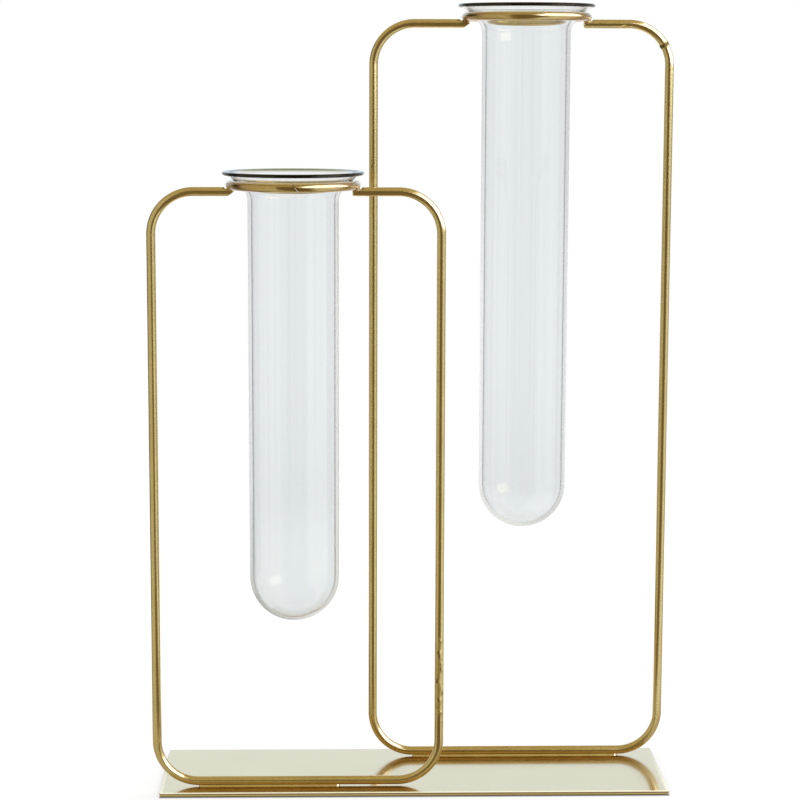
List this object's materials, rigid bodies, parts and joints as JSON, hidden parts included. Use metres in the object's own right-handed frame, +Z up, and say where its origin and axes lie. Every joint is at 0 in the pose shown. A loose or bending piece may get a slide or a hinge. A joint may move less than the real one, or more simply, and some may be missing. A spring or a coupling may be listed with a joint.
{
  "type": "test tube vase",
  "caption": "Bud vase: flared glass test tubes hang in wire rings on bent gold wire frames of different heights, welded to one thin base plate.",
  "frame": {"origin": "middle of the underside of the base plate", "axes": "+Z up along the tubes, +X along the plate towards the tall frame's outer upright, -Y towards the viewer"},
  "size_m": [0.1772, 0.08, 0.2644],
  "materials": {
    "gold_wire": "satin gold lacquer",
    "gold_plate": "polished pale gold",
    "clear_glass": "clear, fire-polished rim"
  },
  "bodies": {
    "stand": {"base_plate": "gold_plate", "front_frame": "gold_wire", "front_ring": "gold_wire", "front_ring_welds": "gold_wire", "front_base_welds": "gold_wire", "rear_frame": "gold_wire", "rear_ring": "gold_wire", "rear_ring_welds": "gold_wire", "rear_base_welds": "gold_wire"},
    "front_tube": {"front_tube": "clear_glass"},
    "rear_tube": {"rear_tube": "clear_glass"}
  },
  "joints": [
    {"name": "front_tube_lift", "type": "slide", "parent": "stand", "child": "front_tube", "axis": [0, 0, 1], "range_m": [0, 0.155]},
    {"name": "rear_tube_lift", "type": "slide", "parent": "stand", "child": "rear_tube", "axis": [0, 0, 1], "range_m": [0, 0.185]}
  ]
}
